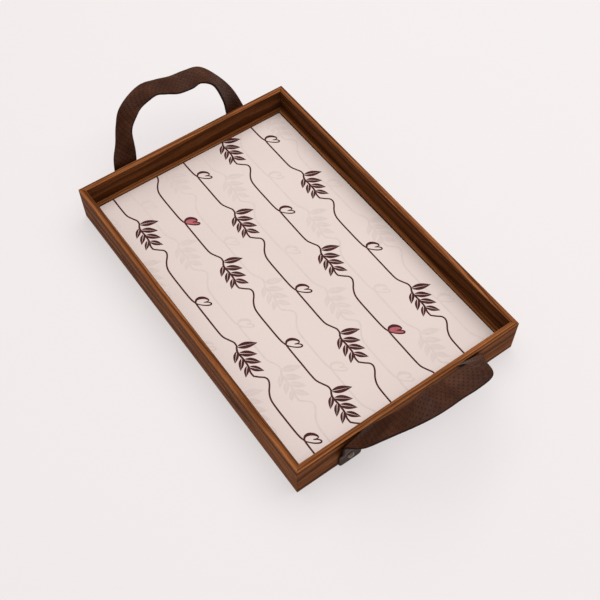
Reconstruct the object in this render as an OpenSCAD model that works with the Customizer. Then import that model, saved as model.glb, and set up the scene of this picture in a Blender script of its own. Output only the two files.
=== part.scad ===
// Wooden serving tray with a printed insert and two strap handles.
// Origin: centre of the footprint, on the table. +X runs along the tray to its right end,
// +Y towards its back rail, +Z up. The two handles mirror each other across x = 0 at their front
// legs and grips, and each strap bends in its own way at its back leg.

/* [Frame] */
// Outside length of the tray
tray_l = 380; // [360:1:400]
// Outside width of the tray
tray_w = 252; // [240:1:280]
// Height of the rails
tray_h = 42.5; // [42.5:0.5:46]
// Thickness of a rail's wall above the ledge
wall_t = 6; // [5:0.5:8]
// Thickness of a rail below the ledge
base_t = 11.4; // [11:0.1:14]
// Height of the ledge inside the rails
ledge_z = 18.5; // [18.5:0.5:22]

/* [Boards] */
// Thickness of the base board
base_board_t = 3; // [3:0.5:4]
// Height of the base board's underside
base_board_z = 11.6; // [11.6:0.1:12]
// How deep the groove for the base board is
groove_d = 3.4; // [2.5:0.1:3.4]
// Play above the base board in its groove
groove_play = 0.2; // [0.1:0.1:0.4]
// Gap between the base board's edge and the groove's floor
board_edge_gap = 0.3; // [0.2:0.1:0.6]
// Thickness of the insert board
insert_t = 3; // [2.5:0.5:3]
// Thickness of the printed sheet on the insert board
sheet_t = 0.2; // [0.1:0.1:0.3]
// Open seam between the insert board and the rails
seam = 1.1; // [0.5:0.1:2]

/* [Corner splines] */
// Thickness of the spline across each mitre
spline_t = 2; // [1.5:0.5:2.5]
// Length of a spline across the mitre
spline_l = 8; // [6:1:8]
// Height of a spline
spline_h = 14; // [8:1:15]
// Height of a spline's lower end
spline_z = 2; // [2:0.5:3]
// Distance of a spline's middle from each outside face
spline_in = 6; // [6:0.5:6.5]

/* [Strap handles] */
// Width of the strap
strap_w = 25; // [22:1:26]
// Thickness of the strap
strap_t = 2.6; // [2:0.2:3]
// How far the strap's ends reach below the rim
strap_drop = 42; // [38:0.5:42]
// Radius of the rounded corners at the strap's ends
strap_end_r = 3; // [2:1:8]
// Distance of each screw from the tray's middle line
screw_y = 69.5; // [69:0.5:70]

/* [Screws] */
// Distance of the screws below the rim
screw_drop = 31.5; // [28:0.5:33]
// Diameter of a screw's domed head
head_d = 7.5; // [7:0.5:9]
// Height of the domed head
head_h = 2.4; // [1.8:0.1:2.5]
// Diameter of a screw's shank
shank_d = 3; // [2.5:0.5:3.5]
// How deep a screw goes into the rail
screw_depth = 7; // [5:0.5:7]
// Clearance round the shank in the rail, on the radius
pilot_gap = 0.05; // [0.02:0.01:0.1]
// Clearance round the shank in the strap, on the radius
strap_hole_gap = 0.2; // [0.1:0.1:0.5]

/* [Hidden] */
$fn = 48;

walnut = [0.52, 0.32, 0.2];
plywood = [0.78, 0.64, 0.46];
hardboard = [0.5, 0.38, 0.28];
beech = [0.85, 0.7, 0.5];
paper = [0.9, 0.84, 0.8];
leather = [0.26, 0.18, 0.14];
nickel = [0.75, 0.74, 0.72];

// Insert board rests on the base board, and the printed sheet on the insert board
insert_z = base_board_z + base_board_t;
sheet_z = insert_z + insert_t;
// Length and width of the opening between the rails, below the ledge
opening_l = tray_l - 2 * base_t;
opening_w = tray_w - 2 * base_t;

// Tip of a screw is a short cone, and its drive recess a shallow cross
tip_h = 2;
tip_d = 0.6;
recess_w = 0.9;
recess_l = 3.6;
recess_d = 1;
pilot_extra = 0.2;
cut = 1;

// A strap's middle line from its front end, over the grip, to its back end. Each station holds
// the distance outside the end rail, the place along Y, the height above the rim, then the
// strap's turn (0 where its width lies along the rail, 90 where it points straight out) and tilt.
FRONT_LEG_AND_GRIP = [[1.3, -69.5, -42, 0, 0],
                      [1.3, -69.5, -26.5, 0, 0],
                      [4, -69.5, -12.5, 8, 0],
                      [5, -68, 2.5, 9, -2],
                      [15.5, -60.5, 19.5, 25, -38],
                      [22.5, -51, 33.5, 29, -24],
                      [28, -40, 43, 36, -6],
                      [31.5, -19, 50, 68, -2],
                      [31, -3, 47, 90, 0],
                      [30, 12, 42, 95, 8]];
LEFT_BACK_LEG = [[30, 29, 40, 100, 10],
                 [28, 43, 40, 118, -2],
                 [16, 54, 34.5, 132, -22],
                 [8, 61.5, 17.5, 142, -8],
                 [6, 66.5, -2.5, 160, -2],
                 [3, 69, -17.5, 174, 0],
                 [1.3, 69.5, -26.5, 180, 0],
                 [1.3, 69.5, -42, 180, 0]];
RIGHT_BACK_LEG = [[30, 29, 41, 98, 4],
                  [28.5, 43.5, 39.6, 120, 0],
                  [19, 46, 33.2, 154, -3],
                  [13, 52, 23, 165, -4],
                  [7.5, 58, 12, 172, -4],
                  [3.7, 64, 0, 177, -2],
                  [2, 68.2, -13, 180, 0],
                  [1.3, 69.5, -26.5, 180, 0],
                  [1.3, 69.5, -42, 180, 0]];
LEFT_STRAP = concat(FRONT_LEG_AND_GRIP, LEFT_BACK_LEG);
RIGHT_STRAP = concat(FRONT_LEG_AND_GRIP, RIGHT_BACK_LEG);
// Stations where the flat tab ends, where the fixed leg ends and where the loose loop starts,
// at the front of both straps, then at the back of each
front_flat = 1;
front_fixed = 2.6;
front_loose = 3.3;
left_flat = 16;
left_fixed = 14.1;
left_loose = 13.45;
right_flat = 17;
right_fixed = 15.3;
right_loose = 14.5;
// Rings of the swept strap for each station
leg_rings = 5;
loop_rings = 6;

function unit(v) = v / norm(v);
// Smooth curve through b and c, with a and d as their neighbours
function between(a, b, c, d, f) =
    0.5 * (2 * b + (c - a) * f + (2 * a - 5 * b + 4 * c - d) * f * f + (3 * b - a - 3 * c + d) * f * f * f);
function station(strap, s) =
    let (last = len(strap) - 1, i = min(max(floor(s), 0), last - 1))
    between(strap[max(i - 1, 0)], strap[i], strap[i + 1], strap[min(i + 2, last)], s - i);
function middle(strap, s) = let (p = station(strap, s)) [tray_l / 2 + p[0], p[1], tray_h + p[2]];
function across(strap, s) =
    let (p = station(strap, s)) [cos(p[4]) * sin(p[3]), -cos(p[4]) * cos(p[3]), sin(p[4])];
function along(strap, s) = unit(middle(strap, s + 0.02) - middle(strap, s - 0.02));
function inward(strap, s) = unit(cross(across(strap, s), along(strap, s)));
// The strap's section at a station: outer edge, then inner edge, each with its two corners
function section(strap, s) =
    let (m = middle(strap, s), w = across(strap, s) * strap_w / 2, t = inward(strap, s) * strap_t / 2)
    [m + w + t, m + w - t, m - w - t, m - w + t];

// A stretch of a strap between two stations
module swept_strap(strap, from, to, rings) {
    sections = [for (k = [0:rings]) section(strap, from + (to - from) * k / rings)];
    sides = [for (k = [0:rings - 1], j = [0:3]) let (a = 4 * k + j, b = 4 * k + (j + 1) % 4)
        each [[a, a + 4, b], [b, a + 4, b + 4]]];
    polyhedron(points = [for (ring = sections) each ring],
               faces = concat([[0, 1, 2, 3]], sides, [[for (j = [3:-1:0]) 4 * rings + j]]));
}

// Flat end of the strap against the right rail, drilled for its screw; side is -1 front, 1 back
module flat_tab(side) {
    flat_top = tray_h + FRONT_LEG_AND_GRIP[front_flat][2] + cut;
    flat_z = tray_h - strap_drop;
    translate([tray_l / 2, side * screw_y, 0])
        difference() {
            rotate([90, 0, 90]) linear_extrude(strap_t) union() {
                translate([-strap_w / 2, flat_z + strap_end_r])
                    square([strap_w, flat_top - flat_z - strap_end_r]);
                translate([-strap_w / 2 + strap_end_r, flat_z])
                    square([strap_w - 2 * strap_end_r, strap_end_r + cut]);
                for (x = [-1, 1]) translate([x * (strap_w / 2 - strap_end_r), flat_z + strap_end_r])
                    circle(strap_end_r);
            }
            translate([-cut, 0, tray_h - screw_drop]) rotate([0, 90, 0])
                cylinder(d = shank_d + 2 * strap_hole_gap, h = strap_t + 2 * cut);
        }
}

module front_tab() {
    color(leather) union() {
        flat_tab(-1);
        swept_strap(RIGHT_STRAP, front_flat, front_fixed, 2 * leg_rings);
    }
}

module back_tab(strap, fixed, flat) {
    color(leather) union() {
        flat_tab(1);
        swept_strap(strap, fixed, flat, 2 * leg_rings);
    }
}

module strap_loop(strap, loose) {
    color(leather) swept_strap(strap, front_loose, loose, 10 * loop_rings);
}

module spline_plate() {
    translate([-spline_l / 2, -spline_t / 2, spline_z]) cube([spline_l, spline_t, spline_h]);
}

// Spline across the mitre of one corner; sx and sy are the signs of its X and Y
module corner_spline(sx, sy) {
    color(beech) translate([sx * (tray_l / 2 - spline_in), sy * (tray_w / 2 - spline_in), 0])
        rotate([0, 0, -45 * sx * sy]) spline_plate();
}

// A rail along X whose outside face is at y = -half, mitred at both ends
module rail(length, half) {
    difference() {
        linear_extrude(tray_h)
            polygon([[-length / 2, -half], [length / 2, -half],
                     [length / 2 - base_t, base_t - half], [base_t - length / 2, base_t - half]]);
        translate([-length / 2, wall_t - half, ledge_z]) cube([length, base_t, tray_h]);
        translate([-length / 2, base_t - groove_d - half, base_board_z])
            cube([length, base_t, base_board_t + groove_play]);
        for (s = [-1, 1]) translate([s * (length / 2 - spline_in), spline_in - half, 0])
            rotate([0, 0, 45 * s]) spline_plate();
    }
}

// End rail on the right, drilled for the two strap screws
module end_rail() {
    color(walnut) difference() {
        rotate([0, 0, 90]) rail(tray_w, tray_l / 2);
        for (s = [-1, 1])
            translate([tray_l / 2 - screw_depth - pilot_extra, s * screw_y, tray_h - screw_drop])
                rotate([0, 90, 0]) cylinder(d = shank_d + 2 * pilot_gap, h = screw_depth + cut);
    }
}

// Wood screw with a domed head, along +X, the head's flat underside at the origin
module screw() {
    dome_r = (head_d * head_d / 4 + head_h * head_h) / (2 * head_h);
    shank = screw_depth + strap_t - tip_h;
    rotate([0, 90, 0]) {
        difference() {
            intersection() {
                translate([0, 0, head_h - dome_r]) sphere(dome_r);
                cylinder(d = head_d, h = head_h);
            }
            for (a = [0, 90]) rotate([0, 0, a])
                translate([-recess_l / 2, -recess_w / 2, head_h - recess_d])
                    cube([recess_l, recess_w, head_h]);
        }
        translate([0, 0, -shank]) cylinder(d = shank_d, h = shank);
        translate([0, 0, -shank - tip_h]) cylinder(d1 = tip_d, d2 = shank_d, h = tip_h);
    }
}

// What is on the right end, repeated on the left as its mirror image
module on_left() { mirror([1, 0, 0]) children(); }

module front_rail() { color(walnut) rail(tray_l, tray_w / 2); }
module back_rail() { color(walnut) rotate([0, 0, 180]) rail(tray_l, tray_w / 2); }
module right_rail() { end_rail(); }
module left_rail() { on_left() end_rail(); }

module base_board() {
    reach = groove_d - board_edge_gap;
    size = [opening_l + 2 * reach, opening_w + 2 * reach, base_board_t];
    color(plywood) translate([-size[0] / 2, -size[1] / 2, base_board_z]) cube(size);
}

module insert_board() {
    size = [opening_l - 2 * seam, opening_w - 2 * seam, insert_t];
    color(hardboard) translate([-size[0] / 2, -size[1] / 2, insert_z]) cube(size);
}

module printed_sheet() {
    size = [opening_l - 2 * seam, opening_w - 2 * seam, sheet_t];
    color(paper) translate([-size[0] / 2, -size[1] / 2, sheet_z]) cube(size);
}

module strap_screws() {
    color(nickel) for (end = [-1, 1], side = [-1, 1])
        mirror([end < 0 ? 1 : 0, 0, 0])
            translate([tray_l / 2 + strap_t, side * screw_y, tray_h - screw_drop]) screw();
}

front_rail();
back_rail();
left_rail();
right_rail();
corner_spline(-1, -1);  // front_left_spline
corner_spline(1, -1);  // front_right_spline
corner_spline(-1, 1);  // back_left_spline
corner_spline(1, 1);  // back_right_spline
base_board();
insert_board();
printed_sheet();
on_left() front_tab();  // left_strap_front_tab
on_left() back_tab(LEFT_STRAP, left_fixed, left_flat);  // left_strap_back_tab
on_left() strap_loop(LEFT_STRAP, left_loose);  // left_strap_loop
front_tab();  // right_strap_front_tab
back_tab(RIGHT_STRAP, right_fixed, right_flat);  // right_strap_back_tab
strap_loop(RIGHT_STRAP, right_loose);  // right_strap_loop
strap_screws();
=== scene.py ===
"""A walnut serving tray with a printed insert and two leather strap handles, built round its CAD frame.

Lengths are millimetres in the names below and metres in the meshes. The row frame is the CAD's:
origin at the middle of the footprint on the table, +X to the right end, +Y to the back rail, +Z up.
"""

import math

import bpy
import numpy as np
from mathutils import Matrix, Quaternion, Vector, geometry


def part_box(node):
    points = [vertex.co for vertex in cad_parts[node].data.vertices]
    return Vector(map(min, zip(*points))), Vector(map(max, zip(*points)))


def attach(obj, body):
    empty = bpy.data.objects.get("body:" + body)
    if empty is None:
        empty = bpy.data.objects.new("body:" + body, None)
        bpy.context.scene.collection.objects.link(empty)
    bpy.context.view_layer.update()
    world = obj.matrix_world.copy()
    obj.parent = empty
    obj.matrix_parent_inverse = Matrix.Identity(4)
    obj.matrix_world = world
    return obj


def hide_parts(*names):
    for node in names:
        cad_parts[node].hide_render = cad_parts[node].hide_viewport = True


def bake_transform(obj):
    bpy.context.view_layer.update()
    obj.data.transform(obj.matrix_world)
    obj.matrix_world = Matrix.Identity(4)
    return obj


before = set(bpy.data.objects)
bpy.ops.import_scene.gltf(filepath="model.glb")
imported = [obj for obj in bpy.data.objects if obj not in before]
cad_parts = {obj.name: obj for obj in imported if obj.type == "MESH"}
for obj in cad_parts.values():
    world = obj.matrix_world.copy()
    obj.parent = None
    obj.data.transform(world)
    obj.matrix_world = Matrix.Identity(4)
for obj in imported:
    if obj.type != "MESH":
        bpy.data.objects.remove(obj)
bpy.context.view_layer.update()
MM = 0.001
TINY = 0.01  # lengths closer than this, in millimetres, are the same


def box_mm(node):
    """Lowest and highest corner of a CAD node, in millimetres."""
    low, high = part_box(node)
    return low / MM, high / MM


# ---- sizes from the frame, in millimetres ----
FRONT_LOW, FRONT_HIGH = box_mm("front_rail")
SHEET_LOW, SHEET_HIGH = box_mm("printed_sheet")
BASE_LOW, BASE_HIGH = box_mm("base_board")
SCREWS_LOW, SCREWS_HIGH = box_mm("strap_screws")
TRAY_L = FRONT_HIGH.x - FRONT_LOW.x
TRAY_W = -2 * FRONT_LOW.y
RIM = FRONT_HIGH.z
RAIL_T = FRONT_HIGH.y - FRONT_LOW.y

# ---- rails ----
WALL_T = 6.0  # above the ledge
LEDGE_Z = 18.5
GROOVE_D = 3.4
GROOVE_PLAY = 0.2
ARRIS = 0.7  # rounding of the rim
ARRIS_WORN = 0.72  # the share of that rounding that is worn pale
SOFT_EDGE = 0.45  # rounding of the other edges
MITRE_EASE = 0.16
RING_GAP = 12.0
# Rail name, quarter turns from the front rail, then where its board was cut from the log
RAILS = [
    ("front_rail", 0, (0.13, 0.000, 0.000)),
    ("right_rail", 1, (1.17, 0.004, 0.003)),
    ("back_rail", 2, (2.41, -0.003, 0.006)),
    ("left_rail", 3, (3.62, 0.006, -0.004)),
]

# ---- straps ----
STRAP_W = 25.0
STRAP_T = 2.6
STRAP_END_R = 3.0
STRAP_EDGE = 1.0  # how far the rounded edge reaches in
# A strap's middle line, as the CAD has it: distance outside the end rail, place along Y, height
# above the rim, then turn (0 where its width lies along the rail) and tilt, in degrees.
FRONT_LEG_AND_GRIP = [
    (1.3, -69.5, -42, 0, 0),
    (1.3, -69.5, -26.5, 0, 0),
    (4, -69.5, -12.5, 8, 0),
    (5, -68, 2.5, 9, -2),
    (15.5, -60.5, 19.5, 25, -38),
    (22.5, -51, 33.5, 29, -24),
    (28, -40, 43, 36, -6),
    (31.5, -19, 50, 68, -2),
    (31, -3, 47, 90, 0),
    (30, 12, 42, 95, 8),
]
LEFT_BACK_LEG = [
    (30, 29, 40, 100, 10),
    (28, 43, 40, 118, -2),
    (16, 54, 34.5, 132, -22),
    (8, 61.5, 17.5, 142, -8),
    (6, 66.5, -2.5, 160, -2),
    (3, 69, -17.5, 174, 0),
    (1.3, 69.5, -26.5, 180, 0),
    (1.3, 69.5, -42, 180, 0),
]
RIGHT_BACK_LEG = [
    (30, 29, 41, 98, 4),
    (28.5, 43.5, 39.6, 120, 0),
    (19, 46, 33.2, 154, -3),
    (13, 52, 23, 165, -4),
    (7.5, 58, 12, 172, -4),
    (3.7, 64, 0, 177, -2),
    (2, 68.2, -13, 180, 0),
    (1.3, 69.5, -26.5, 180, 0),
    (1.3, 69.5, -42, 180, 0),
]
SAMPLES = 40  # samples of the middle line between two stations
DOT_ALONG = 5.4  # the embossed dots are staggered rows
DOT_ACROSS = 5.3
DOT_R = 1.15
DOT_DEPTH = 0.32
RINGS_PER_DOT = 12
COLUMNS_PER_DOT = 12
PLAIN_MARGIN = 1.9  # no dots this close to the strap's edge

# ---- screws ----
SHANK_R = 1.5
THREAD_ROOT_R = 1.2
THREAD_STEP = 0.45
THREAD_STEPS = 11
SHANK_L = 5.0  # below the strap
TIP_L = 2.0
DOME_STEPS = 12
RECESS_ARM = 1.9
RECESS_W = 0.45
RECESS_DEEP = 1.1
RECESS_TURN = 0.35

# ---- print ----
ROW_PITCH = 43.6
FIRST_ROW = 76.7
PERIOD = 178.75
HEART_AT = -149.5
# How far each row is shifted, in periods, from the back of the tray to the front
DARK_SHIFTS = (0, 0.5, 0, 0.25, 0.75)
FAINT_SHIFTS = (0.5, 0.25, 0.75, 0.5, 0, 0)
FAINT_RISE = 17.6  # of the first faint row above the first dark one
FAINT_PITCH = 0.99  # in pitches of the dark rows
FILLED_HEARTS = ((1, 118.7), (3, -104.8))  # dark row, and place along it
INK_T = 0.035
GHOST_T = 0.015
CURVE_STEPS = 7


# ------------------------------------------------------------------ meshes
def new_piece(name, vertices, faces, material, sharp=40):
    """A mesh object in metres, from vertices in millimetres, smooth but for edges over the sharp angle."""
    mesh = bpy.data.meshes.new(name)
    mesh.from_pydata([tuple(Vector(v) * MM) for v in vertices], [], faces)
    mesh.update()
    mesh.shade_smooth()
    mesh.set_sharp_from_angle(angle=math.radians(sharp))
    mesh.materials.append(material)
    piece = bpy.data.objects.new(name, mesh)
    bpy.context.scene.collection.objects.link(piece)
    return piece


def store(piece, name, values):
    """Keeps a number or a vector for each vertex, for the material to read."""
    values = np.asarray(values, np.float32)
    kind, field = ("FLOAT_VECTOR", "vector") if values.ndim == 2 else ("FLOAT", "value")
    attribute = piece.data.attributes.new(name, kind, "POINT")
    attribute.data.foreach_set(field, values.ravel())


def tube(rings):
    """Faces that join equal closed rings of vertices, with the two ends capped."""
    count = len(rings[0])
    faces = []
    for r in range(len(rings) - 1):
        for k in range(count):
            a, b = r * count + k, r * count + (k + 1) % count
            faces.append((a, b, b + count, a + count))
    faces.append(tuple(reversed(range(count))))
    faces.append(tuple(range((len(rings) - 1) * count, len(rings) * count)))
    return [v for ring in rings for v in ring], faces


def ease_normals(piece):
    """Keeps the shading of broad flat faces flat beside their small rounded edges."""
    piece.modifiers.new("normals", "WEIGHTED_NORMAL").keep_sharp = True


def rounded(corners, steps=4):
    """A right-angled outline with each corner (x, y, radius) rounded."""
    outline = []
    for k, (x, y, radius) in enumerate(corners):
        if radius == 0:
            outline.append((x, y))
            continue
        here = Vector((x, y))
        back = (Vector(corners[k - 1][:2]) - here).normalized() * radius
        ahead = (Vector(corners[(k + 1) % len(corners)][:2]) - here).normalized() * radius
        for step in range(steps + 1):
            turn = math.pi / 2 * step / steps
            outline.append(tuple(here + back * (1 - math.sin(turn)) + ahead * (1 - math.cos(turn))))
    return outline


def inset(outline, distance):
    """The outline moved inwards; it runs clockwise."""
    moved = []
    for k, point in enumerate(outline):
        before, after = Vector(outline[k - 1]), Vector(outline[(k + 1) % len(outline)])
        run = (after - before).normalized()
        moved.append(tuple(Vector(point) + Vector((run.y, -run.x)) * distance))
    return moved


# ------------------------------------------------------------------ materials
class Graph:
    """One procedural material, with short calls that add nodes and link them."""

    def __init__(self, name):
        self.material = bpy.data.materials.new(name)
        self.material.use_nodes = True
        self.tree = self.material.node_tree
        self.shader = self.tree.nodes["Principled BSDF"]

    def put(self, socket, value):
        if isinstance(value, bpy.types.NodeSocket):
            self.tree.links.new(value, socket)
        else:
            socket.default_value = value

    def attribute(self, name, output="Vector"):
        node = self.tree.nodes.new("ShaderNodeAttribute")
        node.attribute_name = name
        return node.outputs[output]

    def place(self):
        return self.tree.nodes.new("ShaderNodeTexCoord").outputs["Object"]

    def math(self, operation, a, b=0.0):
        node = self.tree.nodes.new("ShaderNodeMath")
        node.operation = operation
        self.put(node.inputs[0], a)
        self.put(node.inputs[1], b)
        return node.outputs[0]

    def vector(self, operation, a, b=(0.0, 0.0, 0.0)):
        node = self.tree.nodes.new("ShaderNodeVectorMath")
        node.operation = operation
        self.put(node.inputs[0], a)
        self.put(node.inputs[1], b)
        return node.outputs["Value" if operation == "LENGTH" else "Vector"]

    def noise(self, vector, scale, detail=3.0, roughness=0.5, stretch=None):
        if stretch:
            vector = self.vector("MULTIPLY", vector, stretch)
        node = self.tree.nodes.new("ShaderNodeTexNoise")
        self.put(node.inputs["Vector"], vector)
        node.inputs["Scale"].default_value = scale
        node.inputs["Detail"].default_value = detail
        node.inputs["Roughness"].default_value = roughness
        return node.outputs["Fac"]

    def noise_line(self, value, scale, detail=3.0, roughness=0.5):
        node = self.tree.nodes.new("ShaderNodeTexNoise")
        node.noise_dimensions = "1D"
        self.put(node.inputs["W"], value)
        node.inputs["Scale"].default_value = scale
        node.inputs["Detail"].default_value = detail
        node.inputs["Roughness"].default_value = roughness
        return node.outputs["Fac"]

    def cells(self, vector, scale):
        node = self.tree.nodes.new("ShaderNodeTexVoronoi")
        node.feature = "SMOOTH_F1"
        self.put(node.inputs["Vector"], vector)
        node.inputs["Scale"].default_value = scale
        return node.outputs["Distance"]

    def ease(self, value, low, high, out_low=0.0, out_high=1.0):
        node = self.tree.nodes.new("ShaderNodeMapRange")
        node.interpolation_type = "SMOOTHSTEP"
        self.put(node.inputs["Value"], value)
        limits = {"From Min": low, "From Max": high, "To Min": out_low, "To Max": out_high}
        for name, number in limits.items():
            node.inputs[name].default_value = number
        return node.outputs["Result"]

    def ramp(self, factor, stops):
        node = self.tree.nodes.new("ShaderNodeValToRGB")
        elements = node.color_ramp.elements
        while len(elements) < len(stops):
            elements.new(0.5)
        for element, (position, colour) in zip(elements, stops):
            element.position = position
            element.color = (*colour, 1)
        self.put(node.inputs["Fac"], factor)
        return node.outputs["Color"]

    def mix(self, factor, a, b):
        node = self.tree.nodes.new("ShaderNodeMix")
        node.data_type = "RGBA"
        self.put(node.inputs[0], factor)
        for socket, value in ((node.inputs[6], a), (node.inputs[7], b)):
            self.put(socket, value if isinstance(value, bpy.types.NodeSocket) else (*value, 1))
        return node.outputs[2]

    def finish(self, colour, roughness, height=None, depth=0.1, **constants):
        """Sets the surface; height is bump that stands depth millimetres proud."""
        self.put(self.shader.inputs["Base Color"], colour)
        self.put(self.shader.inputs["Roughness"], roughness)
        if height is not None:
            node = self.tree.nodes.new("ShaderNodeBump")
            node.inputs["Distance"].default_value = depth * MM
            self.put(node.inputs["Height"], height)
            self.put(self.shader.inputs["Normal"], node.outputs["Normal"])
        for name, value in constants.items():
            self.shader.inputs[name.replace("_", " ")].default_value = value
        return self.material


def walnut():
    """Oiled walnut. The attribute grain runs along each board: along, in from its outside face, up.

    The walls inside the rim, where the attribute inside is 1, are darkened: painted shade of the tray's
    hollow.
    """
    g = Graph("walnut")
    grain = g.attribute("grain")
    wander = g.noise(grain, 1.0, 2.0, 0.5, stretch=(3.5, 16.0, 16.0))
    ripple = g.noise(grain, 1.0, 3.0, 0.55, stretch=(26.0, 90.0, 90.0))
    log = g.vector("MULTIPLY", g.vector("ADD", grain, (0.0, 0.030, -0.017)), (0.0, 1.0, 1.0))
    radius = g.vector("LENGTH", log)
    radius = g.math("ADD", radius, g.math("MULTIPLY", wander, 0.014))
    radius = g.math("ADD", radius, g.math("MULTIPLY", ripple, 0.0018))
    rings = g.noise_line(radius, 330.0, 3.0, 0.66)
    figure = g.noise(grain, 1.0, 3.0, 0.6, stretch=(9.0, 130.0, 130.0))
    streak = g.noise(grain, 1.0, 3.0, 0.6, stretch=(11.0, 430.0, 430.0))
    fibre = g.noise(grain, 1.0, 4.0, 0.65, stretch=(30.0, 1500.0, 1500.0))
    pore = g.noise(grain, 1.0, 2.0, 0.5, stretch=(110.0, 3600.0, 3600.0))
    pores = g.ease(pore, 0.60, 0.68)
    colour = g.ramp(rings, [
        (0.30, (0.060, 0.018, 0.005)),
        (0.42, (0.170, 0.053, 0.016)),
        (0.50, (0.250, 0.084, 0.027)),
        (0.62, (0.330, 0.122, 0.042)),
        (0.74, (0.215, 0.071, 0.022)),
    ])
    colour = g.mix(g.ease(figure, 0.32, 0.68, 0.45, 0.0), colour, (0.105, 0.031, 0.009))
    colour = g.mix(g.ease(streak, 0.50, 0.64, 0.0, 0.6), colour, (0.062, 0.018, 0.005))
    # Painted shade: the walls inside the rim are darkened towards this colour, standing in for the shade of
    # the tray's hollow.
    painted_hollow_shade = g.math("MULTIPLY", g.attribute("inside", "Fac"), 0.5)
    colour = g.mix(painted_hollow_shade, colour, (0.040, 0.011, 0.003))
    colour = g.mix(g.ease(fibre, 0.35, 0.65, 0.20, 0.0), colour, (0.055, 0.016, 0.005))
    colour = g.mix(g.math("MULTIPLY", pores, 0.5), colour, (0.032, 0.010, 0.004))
    worn = g.math("MULTIPLY", g.attribute("arris", "Fac"), g.ease(ripple, 0.35, 0.7, 0.15, 0.5))
    colour = g.mix(worn, colour, (0.360, 0.140, 0.052))
    roughness = g.ease(fibre, 0.3, 0.7, 0.58, 0.44)
    height = g.math("SUBTRACT", g.math("MULTIPLY", fibre, 0.35), pores)
    return g.finish(colour, roughness, height, 0.05, Specular_IOR_Level=0.01)


def leather():
    """Dark brown embossed leather. The attribute strap holds along, across and the face's height."""
    g = Graph("strap_leather")
    strap = g.attribute("strap")
    dots = g.attribute("dot", "Fac")
    edge = g.attribute("edge", "Fac")
    pebble = g.cells(strap, 1.4)
    creases = g.noise(strap, 0.22, 5.0, 0.62)
    cloud = g.noise(strap, 0.045, 3.0, 0.55)
    colour = g.ramp(cloud, [
        (0.32, (0.028, 0.0090, 0.0040)),
        (0.52, (0.043, 0.0140, 0.0062)),
        (0.70, (0.068, 0.0240, 0.0110)),
    ])
    colour = g.mix(g.ease(creases, 0.52, 0.72, 0.0, 0.35), colour, (0.080, 0.031, 0.016))
    # Painted shade: the embossed dots are darkened, standing in for the shade in their dimples.
    colour = g.mix(g.ease(dots, 0.0, 0.6, 0.0, 0.75), colour, (0.013, 0.0045, 0.0028))
    colour = g.mix(g.math("MULTIPLY", edge, 0.8), colour, (0.013, 0.0060, 0.0042))
    roughness = g.ease(creases, 0.35, 0.70, 0.46, 0.36)
    height = g.math("SUBTRACT", g.math("MULTIPLY", creases, 0.5), pebble)
    return g.finish(colour, roughness, height, 0.06, Specular_IOR_Level=0.06)


def paper():
    """Satin laminated print paper."""
    g = Graph("printed_paper")
    place = g.place()
    mottle = g.noise(place, 9.0, 4.0, 0.6)
    tooth = g.noise(place, 900.0, 3.0, 0.6)
    colour = g.mix(g.ease(mottle, 0.3, 0.7), (0.545, 0.456, 0.420), (0.567, 0.477, 0.440))
    roughness = g.ease(mottle, 0.3, 0.7, 0.36, 0.44)
    return g.finish(colour, roughness, tooth, 0.01, Specular_IOR_Level=0.25)


def ink(name, dark, light):
    """Print ink: it mottles between two close colours, as a press lays it."""
    g = Graph(name)
    place = g.place()
    mottle = g.noise(place, 160.0, 3.0, 0.6)
    colour = g.mix(g.ease(mottle, 0.35, 0.65), dark, light)
    return g.finish(colour, g.ease(mottle, 0.3, 0.7, 0.42, 0.5), mottle, 0.005, Specular_IOR_Level=0.05)


def veneer(name, pale, dark, along, roughness):
    """A plain sawn or sliced wood face with its grain along X or Y."""
    g = Graph(name)
    place = g.place()
    stretch = (8.0, 160.0, 160.0) if along == "X" else (160.0, 8.0, 160.0)
    broad = tuple(s * 0.2 for s in stretch)
    figure = g.noise(place, 1.0, 3.0, 0.55, stretch=broad)
    fibre = g.noise(place, 6.0, 4.0, 0.6, stretch=stretch)
    colour = g.mix(g.ease(figure, 0.3, 0.7), pale, dark)
    colour = g.mix(g.ease(fibre, 0.45, 0.7, 0.0, 0.3), colour, tuple(c * 0.6 for c in dark))
    return g.finish(colour, roughness, fibre, 0.03, Specular_IOR_Level=0.3)


def hardboard():
    """Pressed fibre board, speckled."""
    g = Graph("insert_hardboard")
    place = g.place()
    fleck = g.noise(place, 700.0, 4.0, 0.7)
    colour = g.mix(g.ease(fleck, 0.35, 0.65), (0.120, 0.062, 0.032), (0.210, 0.120, 0.066))
    return g.finish(colour, 0.7, fleck, 0.04, Specular_IOR_Level=0.25)


def nickel():
    """Darkened nickel plate with fine handling marks."""
    g = Graph("screw_nickel")
    place = g.place()
    marks = g.noise(place, 1.0, 3.0, 0.6, stretch=(900.0, 2600.0, 500.0))
    colour = g.mix(g.ease(marks, 0.4, 0.65), (0.170, 0.125, 0.090), (0.240, 0.190, 0.150))
    return g.finish(colour, g.ease(marks, 0.35, 0.65, 0.24, 0.36), marks, 0.01, Metallic=1.0)


def floor_paint():
    g = Graph("floor")
    mottle = g.noise(g.place(), 3.0, 3.0, 0.5)
    colour = g.mix(mottle, (0.260, 0.249, 0.247), (0.266, 0.255, 0.253))
    glow = {"Emission_Color": (1.0, 0.955, 0.948, 1), "Emission_Strength": 0.53}
    return g.finish(colour, 0.75, Specular_IOR_Level=0.1, **glow)


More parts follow.
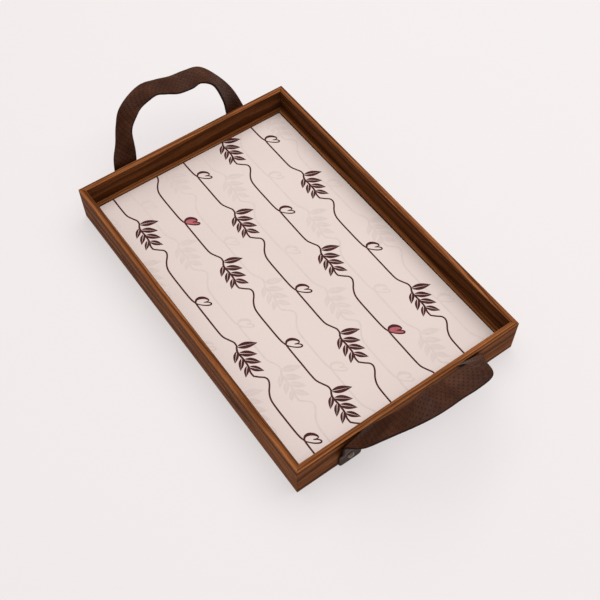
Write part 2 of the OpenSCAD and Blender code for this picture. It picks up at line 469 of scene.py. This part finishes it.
# ------------------------------------------------------------------ rails and boards
def rail_outline():
    """A rail's section, clockwise: distance in from its outside face, and height."""
    groove_high = BASE_HIGH.z + GROOVE_PLAY
    return rounded([
        (0, 0, SOFT_EDGE), (0, RIM, ARRIS), (WALL_T, RIM, ARRIS), (WALL_T, LEDGE_Z, 0),
        (RAIL_T, LEDGE_Z, SOFT_EDGE), (RAIL_T, groove_high, 0), (RAIL_T - GROOVE_D, groove_high, 0),
        (RAIL_T - GROOVE_D, BASE_LOW.z, 0), (RAIL_T, BASE_LOW.z, 0), (RAIL_T, 0, SOFT_EDGE),
    ])


def rail(node, quarter, cut_from, material):
    """One mitred rail, with a fine eased edge round each mitre."""
    length, half = (TRAY_L, TRAY_W / 2) if quarter % 2 == 0 else (TRAY_W, TRAY_L / 2)
    outline = rail_outline()
    eased = inset(outline, MITRE_EASE)
    spans = max(2, round(length / RING_GAP))
    rings = []
    for k in range(spans + 1):
        side = 2 * k / spans - 1
        shrink = MITRE_EASE if k in (0, spans) else 0
        rings.append([(side * (length / 2 - d - shrink), d - half, z) for d, z in outline])
    rings.insert(0, [(d - length / 2, d - half, z) for d, z in eased])
    rings.append([(length / 2 - d, d - half, z) for d, z in eased])
    vertices, faces = tube(rings)
    turn = Matrix.Rotation(quarter * math.pi / 2, 3, "Z")
    piece = new_piece("walnut_" + node, [turn @ Vector(v) for v in vertices], faces, material, 50)
    local = np.array(vertices) * MM
    local[:, 1] += half * MM
    store(piece, "grain", local + np.array(cut_from))
    depth, height = local[:, 1] / MM, local[:, 2] / MM
    top = height > RIM - ARRIS * ARRIS_WORN
    near_edge = (depth < ARRIS * ARRIS_WORN) | (depth > WALL_T - ARRIS * ARRIS_WORN)
    store(piece, "arris", (top & near_edge).astype(float))
    # Painted shade: marks the walls inside the rim, below its rounding, for the walnut to darken as the
    # shade of the tray's hollow.
    painted_shade_wall = (np.abs(depth - WALL_T) < TINY) & (height < RIM - ARRIS * 0.9)
    store(piece, "inside", painted_shade_wall.astype(float))
    ease_normals(piece)
    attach(piece, "tray")
    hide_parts(node)


def board(name, node, corner, edge, material):
    """A flat board with rounded corners and eased edges, in its CAD node's box."""
    low, high = box_mm(node)
    rings = []
    levels = [(0.0, edge), (edge * 0.3, edge * 0.3), (edge, 0.0)]
    heights = [(low.z + up, shrink) for up, shrink in levels]
    heights += [(high.z - up, shrink) for up, shrink in reversed(levels)]
    for height, shrink in heights:
        corners = [
            (low.x + shrink, low.y + shrink, corner), (high.x - shrink, low.y + shrink, corner),
            (high.x - shrink, high.y - shrink, corner), (low.x + shrink, high.y - shrink, corner),
        ]
        rings.append([(x, y, height) for x, y in rounded(corners, 5)])
    piece = new_piece(name, *tube(rings), material, 30)
    ease_normals(piece)
    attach(piece, "tray")
    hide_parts(node)
    return piece


# ------------------------------------------------------------------ straps
def smooth_through(points, steps):
    """Catmull-Rom curve through the rows of points, with steps samples between two of them."""
    p = np.array(points, float)
    p = np.vstack([p[:1], p, p[-1:]])
    f = np.arange(steps)[:, None] / steps
    stretches = []
    for a, b, c, d in zip(p, p[1:], p[2:], p[3:]):
        cubic = (3 * b - a - 3 * c + d) * f**3
        stretches.append(0.5 * (2 * b + (c - a) * f + (2 * a - 5 * b + 4 * c - d) * f**2 + cubic))
    return np.vstack([*stretches, p[-1:]])


def strap_path(back_leg):
    """Places, width directions and face directions along the strap's middle, evenly spaced."""
    rows = smooth_through(FRONT_LEG_AND_GRIP + back_leg, SAMPLES)
    middle = rows[:, :3] + (TRAY_L / 2, 0, RIM)
    travelled = np.r_[0, np.cumsum(np.linalg.norm(np.diff(middle, axis=0), axis=1))]
    gap = DOT_ALONG / RINGS_PER_DOT
    along = np.linspace(0, travelled[-1], round(travelled[-1] / gap) + 1)
    middle, angles = (
        np.stack([np.interp(along, travelled, column) for column in columns.T], 1)
        for columns in (middle, np.radians(rows[:, 3:]))
    )
    turn, tilt = angles.T
    across = np.stack([np.cos(tilt) * np.sin(turn), -np.cos(tilt) * np.cos(turn), np.sin(tilt)], 1)
    run = np.gradient(middle, axis=0)
    face = np.cross(across, run)
    face /= np.linalg.norm(face, axis=1)[:, None]
    return along, middle, across, face


def strap_section():
    """The strap's section, clockwise from its inner edge: across, face height, and 1 on a rounded edge."""
    flat = STRAP_W / 2 - STRAP_EDGE
    count = round(flat / (DOT_ACROSS / COLUMNS_PER_DOT))
    shown = [(flat * k / count, STRAP_T / 2, 0) for k in range(-count, count + 1)]
    hidden = [(flat * k / 8, -STRAP_T / 2, 0) for k in range(8, -9, -1)]
    turns = [math.pi * k / 8 for k in range(1, 8)]
    outer = [(flat + STRAP_EDGE * math.sin(a), STRAP_T / 2 * math.cos(a), 1) for a in turns]
    inner = [(-x, -h, 1) for x, h, _ in outer]
    return np.array(shown + outer + hidden + inner)


def dot_field(along, across):
    """1 in the middle of an embossed dot, falling to 0 at its rim; dots lie in staggered rows."""
    u, v = along / DOT_ALONG, across / DOT_ACROSS
    p, q = u + v, u - v
    p, q = p - np.round(p), q - np.round(q)
    distance = np.hypot((p + q) / 2 * DOT_ALONG, (p - q) / 2 * DOT_ACROSS)
    inside = np.clip(1 - (distance / DOT_R) ** 2, 0, 1)
    return inside**2 * (np.abs(across) < STRAP_W / 2 - PLAIN_MARGIN)


def end_squeeze(from_end):
    """How far the strap's side is drawn in near its rounded end."""
    into = np.clip(STRAP_END_R - from_end, 0, STRAP_END_R)
    return STRAP_END_R - np.sqrt(STRAP_END_R**2 - into**2)


def strap(name, side, back_leg, nodes, handle, material):
    """One whole strap, tab to tab; side is 1 at the right end and -1 at the left."""
    along, middle, across, face = strap_path(back_leg)
    section = strap_section()
    squeeze = end_squeeze(np.minimum(along, along[-1] - along))
    width = 1 - squeeze / (STRAP_W / 2)
    a = np.repeat(along[:, None], len(section), 1)
    t = section[None, :, 0] * width[:, None]
    h = np.repeat(section[None, :, 1], len(along), 0)
    dots = dot_field(a, t) * (h > STRAP_T / 2 - TINY)
    h = h - DOT_DEPTH * dots
    points = middle[:, None] + across[:, None] * t[..., None] + face[:, None] * h[..., None]
    points[..., 0] *= side
    vertices, faces = tube(points.tolist())
    if side > 0:
        faces = [tuple(reversed(f)) for f in faces]
    piece = new_piece(name, vertices, faces, material, 60)
    store(piece, "strap", np.stack([a + (side + 1) * 400, t, h], -1).reshape(-1, 3))
    store(piece, "dot", dots.ravel())
    store(piece, "edge", np.repeat(section[None, :, 2], len(along), 0).ravel())
    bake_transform(piece)
    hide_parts(*nodes)


# ------------------------------------------------------------------ screws
def lathe(profile, sides=40):
    """Closed solid turned about X from (x, radius) points, the first and last on the axis."""
    rings = []
    for x, radius in profile[1:-1]:
        turns = [2 * math.pi * k / sides for k in range(sides)]
        rings.append([(x, radius * math.cos(a), radius * math.sin(a)) for a in turns])
    return tube(rings)


def cut(piece, cutter):
    """Takes the cutter's solid out of the piece, and removes the cutter."""
    modifier = piece.modifiers.new("cut", "BOOLEAN")
    modifier.object = cutter
    modifier.solver = "EXACT"
    evaluated = piece.evaluated_get(bpy.context.evaluated_depsgraph_get())
    mesh = bpy.data.meshes.new_from_object(evaluated)
    piece.modifiers.clear()
    piece.data = mesh
    bpy.data.objects.remove(cutter)


def screw(name, side, y, material):
    """A domed wood screw with a cross recess, pointing into the end rail."""
    head_r = (SCREWS_HIGH.z - SCREWS_LOW.z) / 2
    z = (SCREWS_HIGH.z + SCREWS_LOW.z) / 2
    seat = TRAY_L / 2 + STRAP_T
    head_h = SCREWS_HIGH.x - seat
    sphere_r = (head_r**2 + head_h**2) / (2 * head_h)
    reach = math.asin(head_r / sphere_r)
    profile = [(head_h, 0.0)]
    for k in range(1, DOME_STEPS + 1):
        turn = reach * k / DOME_STEPS
        profile.append((head_h - sphere_r * (1 - math.cos(turn)), sphere_r * math.sin(turn)))
    profile += [(-0.12, head_r * 0.97), (-0.16, head_r * 0.9), (-0.16, SHANK_R)]
    shank_end = -STRAP_T - SHANK_L
    radii = (THREAD_ROOT_R, SHANK_R)
    profile += [(-STRAP_T - THREAD_STEP * k, radii[k % 2]) for k in range(THREAD_STEPS)]
    profile += [(shank_end, 1.3), (shank_end - TIP_L, 0.3), (shank_end - TIP_L - 0.1, 0.0)]
    vertices, faces = lathe(profile)
    piece = new_piece(name, vertices, faces, material, 45)
    for k in range(2):
        corners = []
        for x, taper in ((head_h - RECESS_DEEP, 0.5), (head_h + 1, 1.25)):
            for across, up in ((-1, -1), (1, -1), (1, 1), (-1, 1)):
                corners.append((x, across * RECESS_ARM * taper, up * RECESS_W * (1 + taper) / 2))
        vertices, faces = tube([corners[:4], corners[4:]])
        cutter = new_piece("cutter", vertices, faces, material)
        cutter.rotation_euler.x = math.pi / 2 * k + RECESS_TURN
        bpy.context.view_layer.update()
        cut(piece, cutter)
    turn = Matrix.Rotation(0 if side > 0 else math.pi, 4, "Z")
    piece.data.transform(Matrix.Translation(Vector((side * seat, y, z)) * MM) @ turn)
    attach(piece, "tray")
    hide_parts("strap_screws")


# ------------------------------------------------------------------ print
def stroke(points):
    """Quads along a pen stroke through (u, v, width) points, with round ends."""
    rows = smooth_through(points, CURVE_STEPS)
    run = np.gradient(rows[:, :2], axis=0)
    run /= np.linalg.norm(run, axis=1)[:, None] + 1e-9
    side = np.stack([-run[:, 1], run[:, 0]], 1) * rows[:, 2:] / 2
    left, right = rows[:, :2] + side, rows[:, :2] - side
    shapes = [[left[k], right[k], right[k + 1], left[k + 1]] for k in range(len(rows) - 1)]
    for u, v, width in (points[0], points[-1]):
        turns = [math.pi * k / 4 for k in range(8)]
        shapes.append([(u + width / 2 * math.cos(a), v + width / 2 * math.sin(a)) for a in turns])
    return shapes


def leaf(foot, tip, bulge):
    """A filled pointed leaf in two halves, with its midrib left bare between them."""
    foot, tip = Vector(foot), Vector(tip)
    lean = tip - foot
    out = Vector((-lean.y, lean.x)).normalized()
    shares = [k / LEAF_STEPS for k in range(LEAF_STEPS + 1)]
    halves = []
    for side in (1, -1):
        rib = [foot + lean * s + out * side * RIB_GAP / 2 * (1 - s) for s in shares]
        rim = [p + out * side * bulge * math.sin(math.pi * s**0.8) for p, s in zip(rib, shares)]
        halves.append([tuple(point) for point in rim + rib[-2:0:-1]])
    return halves


HEART_LEFT = [
    (-3.3, 1.2, 1.3), (-6.0, 3.8, 2.4), (-5.8, 7.6, 3.2), (-3.3, 11.2, 2.7), (0.2, 13.2, 1.7),
    (1.9, 12.2, 1.1), (0.8, 8.4, 0.8),
]
HEART_RIGHT = [
    (0.9, 8.2, 0.8), (3.5, 12.0, 1.3), (6.0, 13.2, 1.6), (6.9, 11.6, 1.6), (5.2, 8.2, 1.5),
    (2.3, 4.9, 1.3), (-0.9, 2.2, 1.2), (-3.3, 1.2, 1.2),
]
LINE_PEN = 1.7
# The line that joins the motifs, from one heart's foot to the next
LINE_OUT = [(-3.3, 1.2), (4, 0.9), (20, 0.9), (36, 0.9), (44, 1.5), (50, 4.0), (55.5, 6.6), (60, 6.4)]
LINE_BACK = [
    (96, 1.2), (100, 5.2), (103.5, 9), (107.5, 9.8), (112, 7.8), (118, 3.4), (125, 0.4),
    (134, -0.5), (150, -0.6), (164, -0.5), (171, 0), (175.45, 1.2),
]
SPRIG_STEM = [(60, 6.4, 1.7), (66, 3.4, 2.0), (75, 3.6, 1.9), (84, 3.2, 1.9), (91, 1.2, 1.8), (96, 1.2, 1.7)]
# Each leaf of the sprig: foot, tip, half width
SPRIG_LEAVES = [
    ((61, 6.2), (68.5, 24.5), 3.5),
    ((68, 4.0), (78.5, 17.5), 3.2),
    ((76.5, 4.0), (88, 15.5), 3.0),
    ((85.5, 3.4), (97, 12.5), 2.7),
    ((65, 3.4), (75, -5.5), 2.4),
    ((74, 3.0), (84.5, -5.5), 2.4),
    ((83.5, 2.6), (93, -5.5), 2.2),
]
LEAF_STEPS = 12
RIB_GAP = 0.7


def motif():
    """Shapes of one period of a printed row: a heart, the line, and a leafy sprig."""
    shapes = stroke(HEART_LEFT) + stroke(HEART_RIGHT)
    shapes += stroke([(u, v, LINE_PEN) for u, v in LINE_OUT])
    shapes += stroke([(u, v, LINE_PEN) for u, v in LINE_BACK])
    shapes += stroke(SPRIG_STEM)
    for foot, tip, bulge in SPRIG_LEAVES:
        shapes += leaf(foot, tip, bulge)
    return shapes


def repeated(shapes, rows):
    """The shapes in every period of each row; a row is its baseline and its shift in periods."""
    placed = []
    for baseline, shift in rows:
        for period in range(-2, 4):
            start = HEART_AT + (period + shift) * PERIOD
            if start > SHEET_HIGH.x + 10 or start + PERIOD < SHEET_LOW.x - 10:
                continue
            placed += [[(start + u, baseline + v) for u, v in shape] for shape in shapes]
    return placed


def turned_left(shape):
    """The shape's corners in counter-clockwise order."""
    area = sum(a[0] * b[1] - b[0] * a[1] for a, b in zip(shape, [*shape[1:], shape[0]]))
    return shape if area > 0 else shape[::-1]


def flat_solid(name, shapes, low, high, material):
    """Closed thin solid over the union of the shapes, cut off at the sheet's edge."""
    window = [(SHEET_LOW.x, SHEET_LOW.y), (SHEET_HIGH.x, SHEET_LOW.y),
              (SHEET_HIGH.x, SHEET_HIGH.y), (SHEET_LOW.x, SHEET_HIGH.y)]
    points, faces = [], []
    for shape in [window, *map(turned_left, shapes)]:
        faces.append(list(range(len(points), len(points) + len(shape))))
        points.extend(Vector(p) for p in shape)
    flat, _, triangles, _, _, sources = geometry.delaunay_2d_cdt(points, [], faces, 0, 1e-4)
    kept = [t for t, s in zip(triangles, sources) if 0 in s and len(s) > 1]
    used = sorted({v for t in kept for v in t})
    index = {v: k for k, v in enumerate(used)}
    kept = [tuple(index[v] for v in t) for t in kept]
    count = len(used)
    edges = {(t[k], t[(k + 1) % 3]) for t in kept for k in range(3)}
    walls = [(a + count, b + count, b, a) for a, b in edges if (b, a) not in edges]
    vertices = [(*flat[v], high) for v in used] + [(*flat[v], low) for v in used]
    under = [tuple(v + count for v in reversed(t)) for t in kept]
    piece = new_piece(name, vertices, kept + under + sorted(walls), material, 30)
    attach(piece, "tray")
    return piece


def heart_fill():
    """The inside of a heart."""
    left = smooth_through(HEART_LEFT, CURVE_STEPS)[:, :2]
    right = smooth_through(HEART_RIGHT, CURVE_STEPS)[:, :2]
    return [[tuple(p) for p in np.vstack([left, right[1:-1]])]]


def print_rows():
    """The ink on the printed sheet: dark rows, faint rows between them, and two filled hearts."""
    top = SHEET_HIGH.z
    dark = [(FIRST_ROW - k * ROW_PITCH, shift) for k, shift in enumerate(DARK_SHIFTS)]
    first_faint = FIRST_ROW + FAINT_RISE
    faint = [(first_faint - k * ROW_PITCH * FAINT_PITCH, shift) for k, shift in enumerate(FAINT_SHIFTS)]
    shapes = motif()
    maroon = ink("maroon_ink", (0.042, 0.0085, 0.0085), (0.060, 0.0140, 0.0135))
    ghost = ink("faint_ink", (0.518, 0.436, 0.403), (0.540, 0.456, 0.422))
    rose = ink("rose_ink", (0.310, 0.075, 0.085), (0.370, 0.105, 0.115))
    flat_solid("faint_print", repeated(shapes, faint), top, top + GHOST_T, ghost)
    flat_solid("line_print", repeated(shapes, dark), top, top + INK_T, maroon)
    hearts = []
    for row, at in FILLED_HEARTS:
        hearts += [[(at + u, dark[row][0] + v) for u, v in shape] for shape in heart_fill()]
    flat_solid("heart_print", hearts, top, top + (INK_T + GHOST_T) / 2, rose)


# ------------------------------------------------------------------ stage
FLOOR_HALF = 12000.0
FLOOR_Z = -0.1  # just below the rails, so that the two don't lie in one plane
SOFTBOX_AT = (-0.15, 0.6, 2.2)
SOFTBOX_AIM = (0, 0.1, 0)
SOFTBOX_SIZE = 3.2
SOFTBOX_POWER = 86.0
SURROUND_STRENGTH = 0.4


def stage_floor():
    half, under = FLOOR_HALF, FLOOR_Z
    corners = [(-half, -half, under), (half, -half, under), (half, half, under), (-half, half, under)]
    new_piece("floor", corners, [(0, 1, 2, 3)], floor_paint())


def lamp(name, place, aim, size, power):
    """A square soft box at a place, aimed at a point."""
    light = bpy.data.lights.new(name, "AREA")
    light.shape = "SQUARE"
    light.size = size
    light.energy = power
    piece = bpy.data.objects.new(name, light)
    piece.location = place
    piece.rotation_euler = (Vector(aim) - Vector(place)).to_track_quat("-Z", "Y").to_euler()
    bpy.context.scene.collection.objects.link(piece)


def studio():
    """An even pale surround and a large soft box behind the tray."""
    world = bpy.data.worlds.new("surround")
    world.use_nodes = True
    world.node_tree.nodes["Background"].inputs["Color"].default_value = (1.0, 0.985, 0.975, 1)
    world.node_tree.nodes["Background"].inputs["Strength"].default_value = SURROUND_STRENGTH
    bpy.context.scene.world = world
    lamp("softbox", SOFTBOX_AT, SOFTBOX_AIM, SOFTBOX_SIZE, SOFTBOX_POWER)
    bpy.context.scene.view_settings.view_transform = "Standard"


CAMERA_AT = Vector((0.45294, -0.30832, 0.79175))
CAMERA_AIM = Vector((0.02801, -0.00617, 0))
CAMERA_ROLL = -0.46
CAMERA_LENS = 57.52


def camera():
    data = bpy.data.cameras.new("camera")
    data.lens = CAMERA_LENS
    data.sensor_width = 36
    piece = bpy.data.objects.new("camera", data)
    piece.location = CAMERA_AT
    look = (CAMERA_AIM - CAMERA_AT).to_track_quat("-Z", "Y")
    piece.rotation_mode = "QUATERNION"
    piece.rotation_quaternion = look @ Quaternion((0, 0, 1), math.radians(CAMERA_ROLL))
    bpy.context.scene.collection.objects.link(piece)
    bpy.context.scene.camera = piece


def build():
    wood = walnut()
    for node, quarter, cut_from in RAILS:
        rail(node, quarter, cut_from, wood)
    board("plywood_base", "base_board", 0.5, 0.3,
          veneer("base_plywood", (0.60, 0.42, 0.25), (0.47, 0.31, 0.17), "X", 0.6))
    board("fibre_insert", "insert_board", 1.2, 0.3, hardboard())
    board("print_paper", "printed_sheet", 1.2, 0.05, paper())
    beech = veneer("spline_beech", (0.62, 0.42, 0.26), (0.52, 0.33, 0.19), "X", 0.6)
    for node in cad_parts:
        if node.endswith("_spline"):
            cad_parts[node].data.materials.clear()
            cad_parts[node].data.materials.append(beech)
    hide = leather()
    for word, side, back_leg in (("right", 1, RIGHT_BACK_LEG), ("left", -1, LEFT_BACK_LEG)):
        nodes = [f"{word}_strap_{part}" for part in ("front_tab", "loop", "back_tab")]
        strap(f"{word}_leather_strap", side, back_leg, nodes, f"{word}_handle", hide)
    plated = nickel()
    reach = (SCREWS_HIGH.y - SCREWS_LOW.y) / 2 - (SCREWS_HIGH.z - SCREWS_LOW.z) / 2
    for word, side in (("right", 1), ("left", -1)):
        screw(f"{word}_front_screw", side, -reach, plated)
        screw(f"{word}_back_screw", side, reach, plated)
    print_rows()


camera()
studio()
stage_floor()
build()
